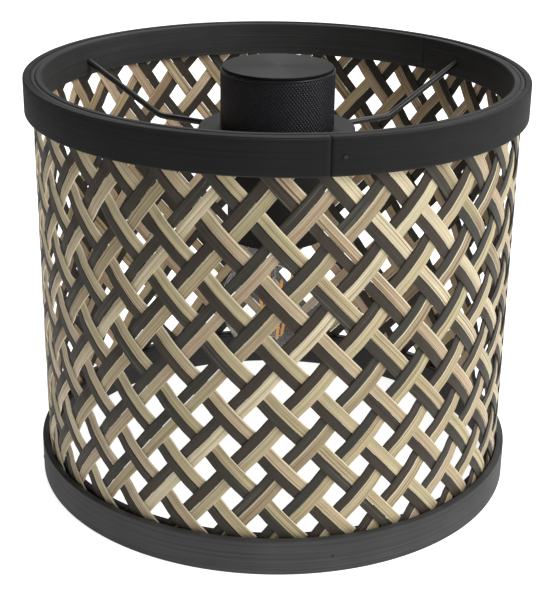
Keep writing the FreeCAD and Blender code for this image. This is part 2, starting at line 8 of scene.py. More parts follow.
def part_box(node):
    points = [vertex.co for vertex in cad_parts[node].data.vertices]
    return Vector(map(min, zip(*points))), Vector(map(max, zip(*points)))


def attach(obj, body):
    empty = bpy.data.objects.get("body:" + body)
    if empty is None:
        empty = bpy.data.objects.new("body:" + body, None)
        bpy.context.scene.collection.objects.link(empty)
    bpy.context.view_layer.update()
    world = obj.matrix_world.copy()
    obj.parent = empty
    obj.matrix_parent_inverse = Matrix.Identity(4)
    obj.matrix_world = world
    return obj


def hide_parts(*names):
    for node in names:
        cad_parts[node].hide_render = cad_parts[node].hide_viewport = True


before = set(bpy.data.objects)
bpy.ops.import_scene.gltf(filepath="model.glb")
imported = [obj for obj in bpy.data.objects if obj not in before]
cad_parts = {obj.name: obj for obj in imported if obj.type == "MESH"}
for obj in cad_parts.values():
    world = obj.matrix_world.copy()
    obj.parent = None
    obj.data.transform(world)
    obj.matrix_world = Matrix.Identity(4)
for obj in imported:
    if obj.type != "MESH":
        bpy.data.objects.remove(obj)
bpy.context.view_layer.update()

# A cordless lantern: a drum of woven bamboo strips between black hoops, with a knurled dimmer dial and a
# clear globe bulb. Metres. Angles round the shade start at the front (-Y) and grow towards +X.

MM = 0.001
TURN = 2 * math.pi


def low(node):
    return np.array(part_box(node)[0])


def high(node):
    return np.array(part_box(node)[1])


# ---------------------------------------------------------------- places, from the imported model

SHADE_RADIUS = high("top_outer_hoop")[0]
SHADE_TOP = high("top_outer_hoop")[2]
TOP_HOOP_FOOT = low("top_outer_hoop")[2]
BOTTOM_HOOP_HEAD = high("bottom_outer_hoop")[2]
MAT_OUTER = high("woven_mat")[0]
MAT_FOOT = low("woven_mat")[2]
MAT_HEAD = high("woven_mat")[2]
INNER_HOOP_OUTER = high("top_inner_hoop")[0]
MAT_WALL = 1.5 * MM
OUTER_HOOP_WALL = SHADE_RADIUS - MAT_OUTER - 0.05 * MM
INNER_HOOP_WALL = 2.6 * MM
MAT_MIDDLE = MAT_OUTER - MAT_WALL / 2

# The weave: bands of two strips, one black and one natural, lean both ways round the drum. A strip's two
# edges are shares of the bands' pitch, from its band's middle line.
FALLING, RISING = -1, 1
BANDS = 31
CROSSING_RISE = 21.76 * MM
PHASE = {FALLING: 0.3805, RISING: 0.2159}
CREEP = {FALLING: (0.0, 0.0625, -0.0125, -0.0875, -0.05, -0.0475, 0.14, -0.03),
         RISING: (0.04, 0.175, 0.1, 0.0875, -0.0575, -0.26, -0.13, 0.04)}
NATURAL_EDGES = {FALLING: (-0.025, 0.265), RISING: (-0.045, 0.252)}
BLACK_EDGES = {FALLING: (-0.285, -0.026), RISING: (-0.317, -0.046)}
STRIP_THICKNESS = 0.60 * MM
WEAVE_LIFT = 0.34 * MM
BAND_PITCH = CROSSING_RISE * math.cos(math.atan(BANDS * CROSSING_RISE / (TURN * MAT_MIDDLE)))
LAP_ANGLE = math.radians(10.5)


# ---------------------------------------------------------------- meshes

def add_piece(name, points, faces, material, body, stands_for=(), uv=None, marks=None, smooth=True):
    """A mesh object from an array of points and an array of faces, with its material, body and slot.

    uv is one (u, v) pair per point; marks is a dictionary of one number per point."""
    mesh = bpy.data.meshes.new(name)
    mesh.from_pydata(points.reshape(-1, 3).tolist(), [], faces.tolist())
    if uv is not None:
        layer = mesh.uv_layers.new(name="UVMap")
        corner = np.empty(len(mesh.loops), dtype=np.int32)
        mesh.loops.foreach_get("vertex_index", corner)
        layer.data.foreach_set("uv", uv.reshape(-1, 2)[corner].astype(np.float32).ravel())
    for label, numbers in (marks or {}).items():
        mark = mesh.attributes.new(label, "FLOAT", "POINT")
        mark.data.foreach_set("value", np.ascontiguousarray(numbers, dtype=np.float32).ravel())
    mesh.polygons.foreach_set("use_smooth", [smooth] * len(mesh.polygons))
    mesh.materials.append(material)
    mesh.update()
    piece = bpy.data.objects.new(name, mesh)
    bpy.context.scene.collection.objects.link(piece)
    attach(piece, body)
    if stands_for:
        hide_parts(*stands_for)
    return piece


def grid_faces(rows, columns, wrap_rows=False, wrap_columns=False):
    """Quads between neighbouring points of a rows by columns grid, closed on itself where it wraps."""
    row = np.arange(rows if wrap_rows else rows - 1)[:, None]
    column = np.arange(columns if wrap_columns else columns - 1)[None, :]
    next_row = (row + 1) % rows
    next_column = (column + 1) % columns
    corners = [row * columns + column, row * columns + next_column,
               next_row * columns + next_column, next_row * columns + column]
    return np.stack([corner + 0 * (row + column) for corner in corners], axis=-1).reshape(-1, 4)


def waves(angle, amplitude, lowest, highest, seed):
    """A gentle closed unevenness: a sum of cosines with whole numbers of waves round the turn."""
    random = np.random.default_rng(seed)
    total = np.zeros_like(angle)
    for count in range(lowest, highest + 1):
        total += random.normal() * np.cos(count * angle + random.uniform(0, TURN)) / math.sqrt(count)
    return amplitude * total / math.sqrt(highest - lowest + 1)


def round_box(width, height, corner, steps):
    """Outline of a rectangle with round corners, anticlockwise, from (0, 0) to (width, height)."""
    quarter = np.linspace(0, math.pi / 2, steps)
    centres = [(width - corner, corner, -math.pi / 2), (width - corner, height - corner, 0.0),
               (corner, height - corner, math.pi / 2), (corner, corner, math.pi)]
    points = [np.stack([x + corner * np.cos(start + quarter), y + corner * np.sin(start + quarter)], -1)
              for x, y, start in centres]
    return np.concatenate(points)


def cylinder_point(radius, angle, height):
    """Point at a radius and an angle that starts at the front and grows to the right."""
    radius, angle, height = np.broadcast_arrays(radius, angle, height)
    return np.stack([radius * np.sin(angle), -radius * np.cos(angle), height], axis=-1)


# ---------------------------------------------------------------- shader maths

class Link:
    """A socket of a material's node tree. Arithmetic on it adds Math nodes."""

    def __init__(self, recipe, socket):
        self.recipe = recipe
        self.socket = socket

    def maths(self, operation, first, second):
        return self.recipe.node("ShaderNodeMath", {"operation": operation}, {0: first, 1: second})

    def __add__(self, other):
        return self.maths("ADD", self, other)

    def __sub__(self, other):
        return self.maths("SUBTRACT", self, other)

    def __mul__(self, other):
        return self.maths("MULTIPLY", self, other)

    def __pow__(self, other):
        return self.maths("POWER", self, other)

    __radd__ = __add__
    __rmul__ = __mul__

    def clamped(self):
        return self.recipe.node("ShaderNodeClamp", {}, {0: self})


class Recipe:
    """One material: its node tree, its shader, and short ways to add nodes."""

    def __init__(self, name, **fixed):
        self.material = bpy.data.materials.new(name)
        self.material.use_nodes = True
        self.tree = self.material.node_tree
        self.shader = self.tree.nodes["Principled BSDF"]
        for label, number in fixed.items():
            self.shader.inputs[label.replace("_", " ")].default_value = number

    def node(self, kind, settings=None, inputs=None, out=0):
        made = self.tree.nodes.new(kind)
        for label, setting in (settings or {}).items():
            if label == "stops":
                self.set_stops(made.color_ramp, setting)
            else:
                setattr(made, label, setting)
        for label, given in (inputs or {}).items():
            if isinstance(given, Link):
                self.tree.links.new(given.socket, made.inputs[label])
            else:
                made.inputs[label].default_value = given
        return Link(self, made.outputs[out])

    @staticmethod
    def set_stops(ramp, stops):
        while len(ramp.elements) < len(stops):
            ramp.elements.new(0.5)
        for element, (place, colour) in zip(ramp.elements, stops):
            element.position = place
            element.color = colour

    def mark(self, label):
        return self.node("ShaderNodeAttribute", {"attribute_name": label}, out="Fac")

    def place(self, scale=(1, 1, 1), uv=False):
        """Object coordinates, or the piece's UV map, scaled."""
        source = self.node("ShaderNodeUVMap") if uv else self.node("ShaderNodeTexCoord", out="Object")
        return self.node("ShaderNodeMapping", {}, {"Vector": source, "Scale": scale})

    def noise(self, where, scale, detail=3.0, rough=0.55):
        return self.node("ShaderNodeTexNoise", {},
                         {"Vector": where, "Scale": scale, "Detail": detail, "Roughness": rough})

    def ramp(self, amount, stops):
        return self.node("ShaderNodeValToRGB", {"stops": stops}, {0: amount})

    def band(self, amount, start, end):
        """0 below start, 1 above end, even between."""
        return self.node("ShaderNodeMapRange", {}, {0: amount, 1: start, 2: end})

    def mix(self, factor, first, second, mode="MIX"):
        return self.node("ShaderNodeMix", {"data_type": "RGBA", "blend_type": mode},
                         {0: factor, 6: first, 7: second}, out=2)

    def bump(self, height, distance, strength):
        return self.node("ShaderNodeBump", {}, {"Height": height, "Distance": distance, "Strength": strength})

    def wear(self, label, link):
        self.tree.links.new(link.socket, self.shader.inputs[label])
        return self


def grey(level, warm=0.0, alpha=1.0):
    return (level * (1 + warm), level, level * (1 - warm), alpha)


# ---------------------------------------------------------------- materials of the shade

def natural_bamboo():
    """Split bamboo: dark lines along the strip, stronger on some, each strip its own tone, a cream split
    edge, and a pith side that faces into the drum, pinker by its own colour and paler by painted light."""
    recipe = Recipe("natural_bamboo", Specular_IOR_Level=0.3)
    along = recipe.place(uv=True)
    tone, coarse = recipe.mark("tone"), recipe.mark("coarse")
    fibres = recipe.noise(recipe.place((12, 4200, 1), uv=True), 1.0, 2.0, 0.6)
    streaks = recipe.noise(recipe.place((6, 1700, 1), uv=True), 1.0, 2.0, 0.6)
    patches = recipe.noise(recipe.place((60, 140, 1), uv=True), 1.0, 2.0, 0.5)
    body = recipe.ramp(tone * 0.75 + patches * 0.25, [
        (0.10, (0.262, 0.198, 0.122, 1)), (0.30, (0.356, 0.283, 0.168, 1)), (0.50, (0.420, 0.356, 0.214, 1)),
        (0.68, (0.393, 0.298, 0.198, 1)), (0.88, (0.560, 0.490, 0.335, 1))])
    lines = recipe.ramp(streaks, [
        (0.37, (0.30, 0.23, 0.15, 1)), (0.43, (0.76, 0.71, 0.63, 1)), (0.50, (1.02, 1.02, 1.0, 1)),
        (0.62, (1.24, 1.24, 1.20, 1))])
    colour = recipe.mix(0.45 + coarse * 0.55, body, lines, "MULTIPLY")
    hairs = recipe.ramp(fibres, [(0.36, grey(0.68)), (0.50, grey(1.0)), (0.64, grey(1.16))])
    colour = recipe.mix(1.0, colour, hairs, "MULTIPLY")
    green = recipe.band(recipe.noise(along, 31.0, 1.0), 0.52, 0.75)
    colour = recipe.mix(green * 0.35, colour, (0.34, 0.34, 0.17, 1))
    split = recipe.band(recipe.mark("edge"), 0.10, 0.45)
    colour = recipe.mix(split * 0.8, colour, (0.72, 0.65, 0.48, 1))
    # Inner faces: the pith's own pinker tone, brightened with painted light for the inside of the drum.
    pith_and_painted_light = recipe.mix(1.0, colour, (1.12, 1.05, 1.05, 1), "MULTIPLY")
    recipe.wear("Base Color", recipe.mix(recipe.mark("inside"), colour, pith_and_painted_light))
    recipe.wear("Roughness", 0.44 + fibres * 0.22)
    return recipe.wear("Normal", recipe.bump(fibres * 0.4 + streaks * 0.9, 0.00018, 0.9)).material


def stained_bamboo():
    """The black strips: stain over the same fibres, browner or greener from strip to strip, a few pale
    lines where the stain missed a fibre, and painted shade on the side faces between the strips."""
    recipe = Recipe("stained_bamboo", Specular_IOR_Level=0.3)
    along = recipe.place(uv=True)
    tone = recipe.mark("tone")
    fibres = recipe.noise(recipe.place((12, 3600, 1), uv=True), 1.0, 4.0, 0.6)
    streaks = recipe.noise(recipe.place((9, 1500, 1), uv=True), 1.0, 2.0, 0.6)
    patches = recipe.noise(along, 45.0, 2.0)
    body = recipe.ramp(tone * 0.7 + patches * 0.3, [
        (0.05, (0.0275, 0.0200, 0.0125, 1)), (0.35, (0.0345, 0.0255, 0.0160, 1)),
        (0.62, (0.0265, 0.0250, 0.0170, 1)), (0.95, (0.0385, 0.0300, 0.0205, 1))])
    shade = recipe.ramp(fibres * 0.5 + streaks * 0.5,
                        [(0.34, grey(0.50)), (0.50, grey(1.0)), (0.66, grey(1.7))])
    colour = recipe.mix(1.0, body, shade, "MULTIPLY")
    missed = recipe.band(streaks, 0.60, 0.68) * recipe.band(patches, 0.48, 0.58)
    colour = recipe.mix(missed * 0.5, colour, (0.16, 0.15, 0.13, 1))
    # Painted shade: the side faces, between the strips, are mixed towards a darker black.
    recipe.wear("Base Color", recipe.mix(recipe.mark("edge") * 0.5, colour, (0.012, 0.010, 0.009, 1)))
    recipe.wear("Roughness", 0.52 + fibres * 0.25)
    return recipe.wear("Normal", recipe.bump(fibres * 0.6 + streaks * 0.6, 0.00014, 0.9)).material


def black_hoop_wood(name, strength, shine):
    """Thick bent strip, stained matt black, with faint grain round the hoop and worn, paler corners. Its
    upward face is painted paler in patches: partly dust, partly a painted highlight where light falls from
    above. The strength argument scales the whole colour; build_hoops uses it for painted shade and light.
    """
    recipe = Recipe(name, Specular_IOR_Level=shine)
    along = recipe.place(uv=True)
    grain = recipe.noise(recipe.place((7, 900, 1), uv=True), 1.0, 5.0, 0.65)
    fine = recipe.noise(recipe.place((60, 5000, 1), uv=True), 1.0, 3.0, 0.6)
    blotch = recipe.noise(along, 22.0, 3.0)
    body = recipe.ramp(blotch, [(0.30, grey(0.0125 * strength)), (0.55, grey(0.0165 * strength)),
                                (0.80, grey(0.0215 * strength))])
    lines = recipe.ramp(grain * 0.6 + fine * 0.4, [(0.34, grey(0.50)), (0.66, grey(1.55))])
    colour = recipe.mix(0.8, body, lines, "MULTIPLY")
    lightened = (recipe.mark("edge") * recipe.band(grain, 0.42, 0.66)).clamped()
    colour = recipe.mix(lightened * 0.45, colour, (0.070, 0.067, 0.064, 1))
    # The upward face painted paler: partly dust, partly a painted highlight from the light above.
    dust = recipe.mark("crown") * recipe.band(blotch + grain * 0.5, 0.45, 1.05)
    recipe.wear("Base Color", recipe.mix(dust * 0.6, colour, (0.085, 0.083, 0.080, 1)))
    recipe.wear("Roughness", 0.60 + fine * 0.25)
    return recipe.wear("Normal", recipe.bump(grain * 0.7 + fine * 0.5, 0.00024, 0.8)).material


# ---------------------------------------------------------------- materials of the metal, rubber and glass

def enamel(name, level, roughness, shine, ripple):
    """Black coating on steel: a faint orange peel, a little dust that dulls it."""
    recipe = Recipe(name, Specular_IOR_Level=shine)
    where = recipe.place()
    peel = recipe.noise(where, 1400.0, 2.0)
    dust = recipe.noise(where, 90.0, 4.0, 0.65)
    recipe.wear("Base Color", recipe.ramp(dust, [(0.35, grey(level * 0.8)), (0.75, grey(level * 1.5, 0.03))]))
    recipe.wear("Roughness", roughness + dust * 0.18)
    return recipe.wear("Normal", recipe.bump(peel, ripple, 0.6)).material


def anodised(name, colour, metallic, roughness, relief, shine, drawn):
    """Black anodised aluminium with turning rings that run round the axis."""
    recipe = Recipe(name, Metallic=metallic, Specular_IOR_Level=shine, Anisotropic=drawn)
    where = recipe.place()
    flat = recipe.node("ShaderNodeVectorMath", {"operation": "MULTIPLY"}, {0: where, 1: (1, 1, 0)})
    reach = recipe.node("ShaderNodeVectorMath", {"operation": "LENGTH"}, {0: flat}, out="Value")
    rings = recipe.node("ShaderNodeTexNoise", {"noise_dimensions": "1D"},
                        {"W": reach * 4200, "Scale": 1.0, "Detail": 2.0})
    cloud = recipe.noise(where, 70.0, 3.0)
    darker = tuple(part * 0.75 for part in colour) + (1.0,)
    lighter = tuple(part * 1.25 for part in colour) + (1.0,)
    recipe.wear("Base Color", recipe.ramp(rings * 0.5 + cloud * 0.5, [(0.35, darker), (0.65, lighter)]))
    recipe.wear("Roughness", roughness + rings * 0.12 + cloud * 0.06)
    return recipe.wear("Normal", recipe.bump(rings, relief, 0.8)).material


def bare_metal(name, colour, roughness):
    """Plain metal with fine drawing lines and handling marks."""
    recipe = Recipe(name, Metallic=1.0)
    where = recipe.place((1, 1, 6))
    lines = recipe.noise(where, 900.0, 3.0)
    marks = recipe.noise(where, 100.0, 4.0)
    dull = tuple(part * 0.72 for part in colour[:3]) + (1.0,)
    recipe.wear("Base Color", recipe.mix(recipe.band(marks, 0.3, 0.75), dull, colour))
    recipe.wear("Roughness", roughness + lines * 0.2)
    return recipe.wear("Normal", recipe.bump(lines, 0.00002, 0.5)).material


def moulded(name, colour, roughness, speck=0.12):
    """Moulded plastic, rubber or ceramic: slight mottling and a fine surface."""
    recipe = Recipe(name, Specular_IOR_Level=0.45)
    where = recipe.place()
    cloud = recipe.noise(where, 160.0, 4.0)
    fine = recipe.noise(where, 2600.0, 2.0)
    darker = tuple(part * (1 - speck) for part in colour[:3]) + (1.0,)
    lighter = tuple(part * (1 + speck) for part in colour[:3]) + (1.0,)
    recipe.wear("Base Color", recipe.mix(recipe.band(cloud, 0.3, 0.7), darker, lighter))
    recipe.wear("Roughness", roughness + fine * 0.12)
    return recipe.wear("Normal", recipe.bump(fine, 0.00003, 0.5)).material


def circuit_green():
    """Solder resist with lighter tracks beneath it."""
    recipe = Recipe("circuit_green", Specular_IOR_Level=0.5)
    tracks = recipe.node("ShaderNodeTexBrick", {"offset": 0.5},
                         {"Vector": recipe.place(), "Scale": 260.0, "Mortar Size": 0.05})
    cloud = recipe.noise(recipe.place(), 400.0, 2.0)
    recipe.wear("Base Color", recipe.mix(tracks, (0.03, 0.13, 0.06, 1), (0.05, 0.24, 0.10, 1)))
    return recipe.wear("Roughness", 0.3 + cloud * 0.2).material


def clear_glass():
    """Thin blown glass: nearly all of the light goes straight through, the rest is a sharp reflection."""
    recipe = Recipe("clear_glass", Roughness=0.02, IOR=1.45, Alpha=0.10)
    film = recipe.noise(recipe.place(), 60.0, 2.0)
    recipe.wear("Base Color", recipe.ramp(film, [(0.3, (0.90, 0.93, 0.93, 1)), (0.7, (0.97, 0.98, 0.98, 1))]))
    facing = recipe.node("ShaderNodeLayerWeight", {}, {"Blend": 0.22}, out="Facing")
    return recipe.wear("Alpha", 0.05 + 0.60 * facing ** 2.6).material


def amber_phosphor():
    """The filaments' amber coat, with grains in it, and a faint painted glow of its own colour: the lamp is
    not lit.
    """
    recipe = Recipe("amber_phosphor", Roughness=0.4, Specular_IOR_Level=0.5, Emission_Strength=0.25)
    grains = recipe.noise(recipe.place(), 2200.0, 3.0)
    colour = recipe.ramp(grains, [(0.3, (0.62, 0.25, 0.035, 1)), (0.7, (0.88, 0.46, 0.10, 1))])
    recipe.wear("Base Color", colour)
    # Painted glow: the unlit filaments emit their own amber.
    return recipe.wear("Emission Color", colour).material


# ---------------------------------------------------------------- the weave

def band_count(lean, angle, height):
    """How many bands of one lean lie between the front and a point.

    The bands would be straight on the unrolled drum. CREEP bends them, as a weave made by hand does, by
    terms in: one, the height from the middle as a share of half the drum's, its square, its cube, the sine
    of the angle, that sine times the height, one less the cosine, and the sine of twice the angle."""
    level = 2 * height / SHADE_TOP - 1
    sine = np.sin(angle)
    terms = (1.0, level, level ** 2, level ** 3, sine, sine * level, 1 - np.cos(angle), np.sin(2 * angle))
    creep = sum(amount * term for amount, term in zip(CREEP[lean], terms))
    return BANDS * angle / TURN - lean * height / CROSSING_RISE + PHASE[lean] + creep


def band_angle(lean, count, height):
    """The angle at which a band passes a height, found by correcting a first guess by what it lacks."""
    angle = TURN / BANDS * (count + lean * height / CROSSING_RISE)
    for _ in range(8):
        angle = angle + TURN / BANDS * (count - band_count(lean, angle, height))
    return angle


def woven_strips(name, lean, edges, material, seed, stands_for=()):
    """All the strips of one colour and one lean.

    Each follows its band from the mat's foot to its head. Its distance from the axis swings by WEAVE_LIFT
    as a flattened sine of the other lean's count, so it goes over one crossing band and under the next,
    and the two leans swing opposite ways. The two strips of a band wander from its line together. The
    section is flat, with a slanted upper edge where it was split; forward, outward and sideways are the
    strip's own directions along, through and across."""
    random = np.random.default_rng(300 + lean)
    stations = 150
    number = np.arange(BANDS)[:, None]
    height = np.linspace(MAT_FOOT + 1.6 * MM, MAT_HEAD - 1.6 * MM, stations)[None, :]
    sway = 0.010 * np.sin(height * random.uniform(25, 60, (BANDS, 1)) + random.uniform(0, TURN, (BANDS, 1)))
    count = number + 0.5 + sum(edges) / 2 + random.normal(0, 0.012, (BANDS, 1)) + sway
    angle = band_angle(lean, count, height)
    swing = np.tanh(2.4 * np.sin(math.pi * band_count(-lean, angle, height))) / math.tanh(2.4)
    radius = MAT_MIDDLE - lean * WEAVE_LIFT * (1 - 2 * (number % 2)) * swing
    spine = cylinder_point(radius, angle, height)

    outward = cylinder_point(1.0, angle, 0.0)
    forward = np.gradient(spine, axis=1)
    forward /= np.linalg.norm(forward, axis=2, keepdims=True)
    outward -= forward * np.sum(outward * forward, axis=2, keepdims=True)
    outward /= np.linalg.norm(outward, axis=2, keepdims=True)
    sideways = np.cross(forward, outward) * -lean

    random = np.random.default_rng(seed)
    half = BAND_PITCH * (edges[1] - edges[0]) / 2 * random.uniform(0.965, 1.0, (BANDS, 1, 1))
    rise = STRIP_THICKNESS / 2 * random.normal(1.0, 0.05, (BANDS, 1, 1))
    split = random.uniform(0.15, 0.70, (BANDS, 1, 1)) * MM
    corner = 0.10 * MM
    across = half * [1, 1, 1, -1, -1, -1, -1, 1] + split * [0, 0, -1, 0, 0, 0, 0, 0]
    across = across + corner * np.array([0, 0, 0, 1, 0, 0, 1, -1])
    through = rise * [-1, 0.25, 1, 1, 1, -1, -1, -1] + corner * np.array([1, 0, 0, 0, -1, 1, 0, 0])
    points = (spine[:, :, None] + across[..., None] * sideways[:, :, None]
              + through[..., None] * outward[:, :, None])

    ring = grid_faces(stations, 8, wrap_columns=True)
    foot = np.array([[0, 1, 2, 7], [7, 2, 3, 6], [6, 3, 4, 5]])
    one = np.concatenate([ring, foot[:, ::-1], foot + (stations - 1) * 8])
    if lean == FALLING:
        one = one[:, ::-1]
    faces = (one[None] + (np.arange(BANDS) * stations * 8)[:, None, None]).reshape(-1, 4)

    steps = np.linalg.norm(np.diff(spine, axis=1), axis=2)
    length = np.concatenate([np.zeros((BANDS, 1)), np.cumsum(steps, axis=1)], axis=1)
    run = (length + random.uniform(0, 40, (BANDS, 1)))[:, :, None] + np.zeros(8)
    around = np.broadcast_to(across + random.uniform(0, 9, (BANDS, 1, 1)), run.shape)
    marks = {"tone": random.uniform(0, 1, (BANDS, 1, 1)),
             "coarse": random.uniform(0, 1, (BANDS, 1, 1)) ** 1.5,
             "edge": np.array([1.0, 1, 0, 0, 1, 1, 0, 0]),
             "inside": np.array([1.0, 0, 0, 0, 0, 1, 1, 1])}
    marks = {label: np.broadcast_to(numbers, run.shape) for label, numbers in marks.items()}
    return add_piece(name, points, faces, material, "shade", stands_for,
                     uv=np.stack([run, around], axis=-1), marks=marks, smooth=False)


def build_weave(natural, black):
    for lean, word, seed in ((FALLING, "falling", 31), (RISING, "rising", 33)):
        stands_for = ["woven_mat"] if lean == FALLING else []
        woven_strips(f"natural_{word}_strips", lean, NATURAL_EDGES[lean], natural, seed,
                     stands_for)
        woven_strips(f"black_{word}_strips", lean, BLACK_EDGES[lean], black, seed + 1)


# ---------------------------------------------------------------- the hoops

def bent_hoop(name, inner, wall, foot, head, corner, seam, step, material, seed, stands_for):
    """A flat strip bent into a ring.

    Its section is a rectangle with round corners, carried once round from the seam. The wall starts thinner
    by step and grows evenly to its full thickness, so the last end laps over the first with a ledge."""
    stations = 420
    travel = np.linspace(0.0008, TURN - 0.0004, stations)
    angle = travel + seam
    outline = round_box(wall, head - foot, corner, 6)
    share = outline[:, 0] / wall
    ease = np.minimum(1.0, travel / TURN * 1.6)
    inward = inner + waves(angle, 0.10 * MM, 2, 5, seed)
    reach = outline[None, :, 0] - (share ** 2)[None, :] * (step * (1 - ease))[:, None]
    top_sway = waves(angle, 0.16 * MM, 3, 11, seed + 1)
    lift = outline[:, 1] / (head - foot)
    height = foot + outline[None, :, 1] - np.abs(top_sway)[:, None] * lift[None, :]
    points = cylinder_point(inward[:, None] + reach, angle[:, None], height)

    count = len(outline)
    faces = grid_faces(stations, count, wrap_columns=True)
    middle = np.stack([points[0].mean(axis=0), points[-1].mean(axis=0)])
    points = np.concatenate([points.reshape(-1, 3), middle])
    centre = stations * count
    around = np.arange(count)
    following = (around + 1) % count
    quads = faces.tolist()
    last = (stations - 1) * count
    start = [[int(a), int(b), centre] for a, b in zip(following, around)]
    end = [[int(a + last), int(b + last), centre + 1] for a, b in zip(around, following)]

    girth = np.concatenate([[0], np.cumsum(np.linalg.norm(np.diff(outline, axis=0), axis=1))])
    uv = np.stack(np.broadcast_arrays((angle * inner)[:, None], girth[None, :]), axis=-1).reshape(-1, 2)
    uv = np.concatenate([uv, [[0, 0], [0, 0]]])
    bend = np.tile(np.array([0, 1, 1, 1, 1, 0], dtype=float), 4)
    marks = {"edge": np.concatenate([np.tile(bend, stations), [0, 0]]),
             "crown": np.concatenate([np.tile((lift > 0.999).astype(float), stations), [0, 0]])}
    return add_closed(name, points, quads, start + end, material, "shade", stands_for,
                      uv, marks)


def add_closed(name, points, quads, triangles, material, body, stands_for, uv=None, marks=None):
    """A piece whose faces are quads and triangles, turned the right way out by the sign of its volume."""
    faces = quads + triangles
    total = 0.0
    quad = np.array(quads)
    for a, b, c in ((0, 1, 2), (0, 2, 3)):
        normal = np.cross(points[quad[:, b]], points[quad[:, c]])
        total += np.einsum("ij,ij->i", points[quad[:, a]], normal).sum()
    if total < 0:
        faces = [face[::-1] for face in faces]
    ragged = np.empty(len(faces), dtype=object)
    ragged[:] = faces
    return add_piece(name, points, ragged, material, body, stands_for, uv=uv, marks=marks)


def build_hoops():
    """Four hoops and the two strips that fill the gaps between them. The upper outer hoop's copy of the black
    wood is darkened by painted shade; the lower outer hoop's copy is lightened by painted light, as if lit by
    the bright floor below. The inner hoops and the filler strips share a third copy."""
    outer_inner = SHADE_RADIUS - OUTER_HOOP_WALL
    inner_inner = INNER_HOOP_OUTER - INNER_HOOP_WALL
    top = (TOP_HOOP_FOOT, SHADE_TOP)
    bottom = (0.0, BOTTOM_HOOP_HEAD)
    # Painted shade and painted light: one black wood, darker for the upper outer hoop, paler for the lower.
    painted_shade_wood = black_hoop_wood("painted_shade_black_wood", 0.55, 0.16)
    lightened = black_hoop_wood("painted_light_black_wood", 2.9, 0.25)
    inner = black_hoop_wood("inner_black_wood", 1.7, 0.25)
    bent_hoop("top_outer_band", outer_inner, OUTER_HOOP_WALL, *top, 0.65 * MM, LAP_ANGLE, 0.40 * MM, painted_shade_wood, 41,
              ["top_outer_hoop"])
    bent_hoop("bottom_outer_band", outer_inner, OUTER_HOOP_WALL, *bottom, 0.65 * MM, LAP_ANGLE + math.pi,
              0.40 * MM, lightened, 45, ["bottom_outer_hoop"])
    bent_hoop("top_inner_band", inner_inner, INNER_HOOP_WALL, *top, 0.70 * MM, LAP_ANGLE + 2.2, 0.0,
              inner, 49, ["top_inner_hoop"])
    bent_hoop("bottom_inner_band", inner_inner, INNER_HOOP_WALL, *bottom, 0.70 * MM, LAP_ANGLE + 2.9, 0.0,
              inner, 53, ["bottom_inner_hoop"])
    for side, seed in (("top", 57), ("bottom", 61)):
        node = side + "_filler_strip"
        bent_hoop(side + "_filler", MAT_OUTER - MAT_WALL, MAT_WALL, low(node)[2], high(node)[2], 0.15 * MM,
                  LAP_ANGLE + 1.1, 0.0, inner, seed, [node])


# ---------------------------------------------------------------- the dial

def lathe(name, outline, columns, material, body, stands_for):
    """A piece turned about Z from an outline of (radius, height) that starts and ends on the axis."""
    angle = np.linspace(0, TURN, columns, endpoint=False)
    rows = cylinder_point(outline[:, :1], angle[None, :], outline[:, 1:])
    centre = len(rows) * columns
    last = centre - columns
    points = np.concatenate([rows.reshape(-1, 3), [[0, 0, outline[0, 1]], [0, 0, outline[-1, 1]]]])
    around = np.arange(columns)
    following = (around + 1) % columns
    ends = [[int(b), int(a), centre] for a, b in zip(around, following)]
    ends += [[int(a + last), int(b + last), centre + 1] for a, b in zip(around, following)]
    faces = grid_faces(len(rows), columns, wrap_columns=True).tolist()
    return add_closed(name, points, faces, ends, material, body, stands_for)


def rounded(radius, height, size, steps=7):
    """The points of an outer upper corner whose edge is rounded by size."""
    quarter = np.linspace(0, math.pi / 2, steps)
    return [(radius - size + size * math.cos(t), height - size + size * math.sin(t)) for t in quarter]


def knurled_sleeve(metal):
    """Two sets of fine helical grooves cross on a cylinder between a plain rim above and below.

    The radius falls below the full one by the groove's depth times one less the product of the two
    helices' half waves, so a pointed diamond stands between four grooves."""
    radius, foot, head = high("dial_sleeve")[0], low("dial_sleeve")[2], high("dial_sleeve")[2]
    bore = radius - 2.4 * MM
    seat = high("dial_cap")[0] + 0.1 * MM
    teeth, knurl_rows = 100, 120
    columns = teeth * 7
    depth = 0.34 * MM
    knurl_foot, knurl_head = foot + 0.9 * MM, head - 1.0 * MM
    angle = np.linspace(0, TURN, columns, endpoint=False)
    level = np.linspace(knurl_foot, knurl_head, knurl_rows)[:, None]
    climb = TURN * level / (1.2 * TURN * radius / teeth)
    product = np.abs(np.sin((angle * teeth + climb) / 2) * np.sin((angle * teeth - climb) / 2))
    run_out = np.clip(np.minimum(level - knurl_foot, knurl_head - level) / (0.5 * MM), 0, 1)
    knurl = radius - 0.04 * MM - depth * (1 - product * run_out)

    upper = [(radius - 0.30 * MM, head - 0.95 * MM), (radius, head - 0.85 * MM),
             *rounded(radius, head, 0.45 * MM), (seat, head), (seat, head - 1.2 * MM)]
    lower = [(radius - 0.6 * MM, foot), (radius - 0.1 * MM, foot + 0.4 * MM), (radius, foot + 0.5 * MM),
             (radius, foot + 0.8 * MM)]
    loop = np.array([*upper, (bore, head - 1.2 * MM), (bore, foot), *lower])
    rows = np.concatenate([cylinder_point(knurl, angle[None, :], level),
                           cylinder_point(loop[:, :1], angle[None, :], loop[:, 1:])])
    faces = grid_faces(len(rows), columns, wrap_rows=True, wrap_columns=True)
    return add_piece("knurled_sleeve", rows, faces, metal, "dial", ["dial_sleeve"])


